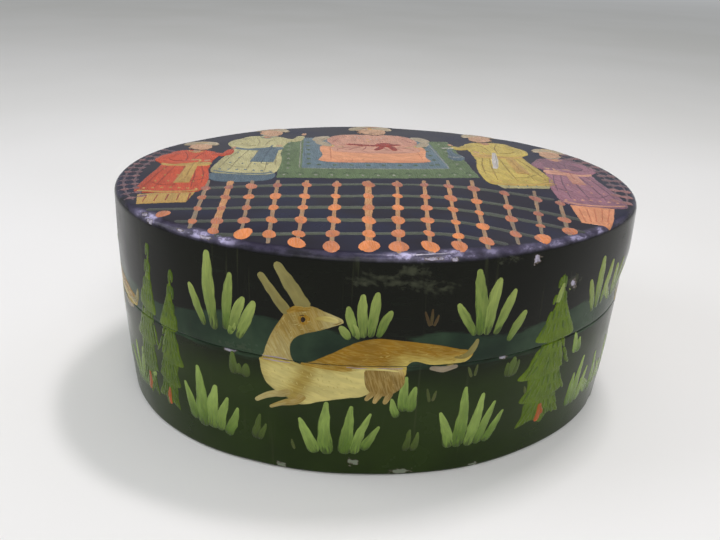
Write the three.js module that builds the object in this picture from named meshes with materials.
// An oval papier-mache box with a lid that lifts off.
//
// Millimetres, +Z up. The origin is the middle of the flat underside, X runs along the
// oval and Y across it. Paper wound in layers on an oval former makes one tall wall, and
// a board closes each end. A saw cut then parts the wall into a base and a lid, and a
// collar glued inside the base stands up above the cut and guides the lid.

import * as THREE from 'three';
import { toCreasedNormals } from 'three/addons/utils/BufferGeometryUtils.js';

// Driving dimensions of the outside

const overallLength = 152; // at the belly, where the wall is widest
const overallWidth = 119.4;
const rimHeight = 62.8; // top of the lid at its edge
const lidCrown = 0.4; // rise of the lid's middle above its edge
const seamHeight = 34.4; // level of the saw cut
const bellySwell = 0.8; // how far the belly stands out past the foot and the rim
const rimRadius = 2; // rounding of the lid's upper edge
const footRadius = 1; // rounding of the base's lower edge
const seamRounding = 0.35; // softened lips of the saw cut

// Driving dimensions of the inside

const wallThickness = 2.4; // at the foot and the rim, the belly is thicker by its swell
const baseBoardThickness = 3;
const lidBoardThickness = 3;
const collarThickness = 1.8;
const collarDepth = 14; // glued length below the saw cut
const collarRise = 8; // free length above the saw cut
const collarEdge = 0.6; // softening of the collar's upper edge
const collarGap = 0.3; // glue line in the base, and running clearance in the lid

// Fineness of the facets

const ringSegments = 96; // round the oval
const wallSegments = 4; // up each wall
const arcSegments = 3; // in each rounded edge
const crownSegments = 3; // from the middle of the lid to its edge

// Levels and insets that follow from the sizes above. An inset is measured square to the
// belly's outline, inwards.

const halfLength = overallLength / 2;
const halfWidth = overallWidth / 2;
const lidBoardUnderside = rimHeight - lidBoardThickness;
const collarFoot = Math.max(seamHeight - collarDepth, baseBoardThickness);
const collarTop = seamHeight + collarRise;
const wallInnerInset = bellySwell + wallThickness;
const collarOuterInset = wallInnerInset + collarGap;
const collarInnerInset = collarOuterInset + collarThickness;
const edgeBand = collarInnerInset + rimRadius; // inside it the boards only shrink evenly

// The belly's curve: the inset of the outer face at a height.
function outerInset(height) {
  const fromMiddle = (2 * height - rimHeight) / rimHeight;
  return bellySwell * fromMiddle * fromMiddle;
}

// A point of a profile, given by its inset and its height.
function at(inset, height) {
  return new THREE.Vector2(halfWidth - inset, height);
}

// The outer face between two heights, both ends included.
function outerFace(low, high, segments) {
  const points = [];
  for (let i = 0; i <= segments; i += 1) {
    const height = low + ((high - low) * i) / segments;
    points.push(at(outerInset(height), height));
  }
  return points;
}

// A quarter round between two turns, in degrees, where 0 points out and 90 points up.
function quarterRound(centreInset, centreHeight, radius, fromTurn, toTurn) {
  const points = [];
  for (let i = 0; i <= arcSegments; i += 1) {
    const turn = THREE.MathUtils.degToRad(fromTurn + ((toTurn - fromTurn) * i) / arcSegments);
    points.push(at(centreInset - radius * Math.cos(turn), centreHeight + radius * Math.sin(turn)));
  }
  return points;
}

// The point of the oval at an angle, moved inwards by the inset.
function ovalPoint(angle, inset) {
  const outline = new THREE.Vector2(halfLength * Math.cos(angle), halfWidth * Math.sin(angle));
  const inwards = new THREE.Vector2(-halfWidth * Math.cos(angle), -halfLength * Math.sin(angle));
  return outline.addScaledVector(inwards.normalize(), inset);
}

// Turns a profile about the vertical axis and lays its round rings on the oval. Near the
// outline a ring keeps its inset all the way round, so that nested rings stay parallel.
// Further in, the rings shrink evenly to the middle.
function sweepRoundOval(profile) {
  const lathe = new THREE.LatheGeometry(profile, ringSegments);
  const position = lathe.getAttribute('position');
  for (let i = 0; i < position.count; i += 1) {
    const radius = Math.hypot(position.getX(i), position.getZ(i));
    const angle = Math.atan2(position.getX(i), position.getZ(i));
    const inset = halfWidth - radius;
    const point = ovalPoint(angle, Math.min(inset, edgeBand));
    if (inset > edgeBand) {
      point.multiplyScalar(radius / (halfWidth - edgeBand));
    }
    position.setXYZ(i, point.x, point.y, position.getY(i));
  }
  lathe.deleteAttribute('normal');
  lathe.deleteAttribute('uv');
  return toCreasedNormals(lathe, THREE.MathUtils.degToRad(35));
}

function lacquer(color, roughness) {
  return new THREE.MeshStandardMaterial({ color, roughness, metalness: 0 });
}

function piece(name, profile, material) {
  const mesh = new THREE.Mesh(sweepRoundOval(profile), material);
  mesh.name = name;
  return mesh;
}

// The board under the base: a flat oval as wide as the wall, with a softened lower edge.
function baseBoard() {
  const radius = Math.min(footRadius, 0.9 * baseBoardThickness);
  const footInset = outerInset(radius);
  const profile = [
    new THREE.Vector2(0, 0),
    ...quarterRound(footInset + radius, radius, radius, -90, 0),
    at(outerInset(baseBoardThickness), baseBoardThickness),
    new THREE.Vector2(0, baseBoardThickness),
  ];
  return piece('base_board', profile, lacquer(0x1c1712, 0.6));
}

// The wall of the base, from its board up to the saw cut.
function baseWall() {
  const rounding = Math.min(seamRounding, wallThickness / 3);
  const profile = [
    ...outerFace(baseBoardThickness, seamHeight - rounding, wallSegments),
    at(outerInset(seamHeight) + rounding, seamHeight),
    at(wallInnerInset, seamHeight),
    at(wallInnerInset, baseBoardThickness),
    at(outerInset(baseBoardThickness), baseBoardThickness),
  ];
  return piece('base_wall', profile, lacquer(0x28321a, 0.35));
}

// The collar inside the base. Its free upper part is what the lid slides down over.
function collar() {
  const edge = Math.min(collarEdge, 0.45 * collarThickness);
  const profile = [
    at(collarOuterInset, collarFoot),
    at(collarOuterInset, collarTop - edge),
    at(collarOuterInset + edge, collarTop),
    at(collarInnerInset - edge, collarTop),
    at(collarInnerInset, collarTop - edge),
    at(collarInnerInset, collarFoot),
    at(collarOuterInset, collarFoot),
  ];
  return piece('collar', profile, lacquer(0x2a211a, 0.7));
}

// The wall of the lid, from the saw cut up to its board.
function lidWall() {
  const rounding = Math.min(seamRounding, wallThickness / 3);
  const profile = [
    at(outerInset(seamHeight) + rounding, seamHeight),
    ...outerFace(seamHeight + rounding, lidBoardUnderside, wallSegments),
    at(wallInnerInset, lidBoardUnderside),
    at(wallInnerInset, seamHeight),
    at(outerInset(seamHeight) + rounding, seamHeight),
  ];
  return piece('lid_wall', profile, lacquer(0x191c14, 0.35));
}

// The board on top: as wide as the wall, with a rounded rim and a slight crown.
function lidBoard() {
  const radius = Math.min(rimRadius, 0.9 * lidBoardThickness);
  const shoulder = rimHeight - radius;
  const shoulderInset = outerInset(shoulder);
  const crownEdge = halfWidth - shoulderInset - radius;
  const profile = [
    new THREE.Vector2(0, lidBoardUnderside),
    at(outerInset(lidBoardUnderside), lidBoardUnderside),
    ...quarterRound(shoulderInset + radius, shoulder, radius, 0, 90),
  ];
  for (let i = crownSegments - 1; i >= 0; i -= 1) {
    const outwards = i / crownSegments;
    const height = rimHeight + lidCrown * (1 - outwards * outwards);
    profile.push(new THREE.Vector2(crownEdge * outwards, height));
  }
  return piece('lid_board', profile, lacquer(0x26233c, 0.35));
}

const base = new THREE.Group();
base.add(baseBoard(), baseWall(), collar());

const lid = new THREE.Group();
lid.add(lidWall(), lidBoard());

const box = new THREE.Group();
box.add(base, lid);

export default box;
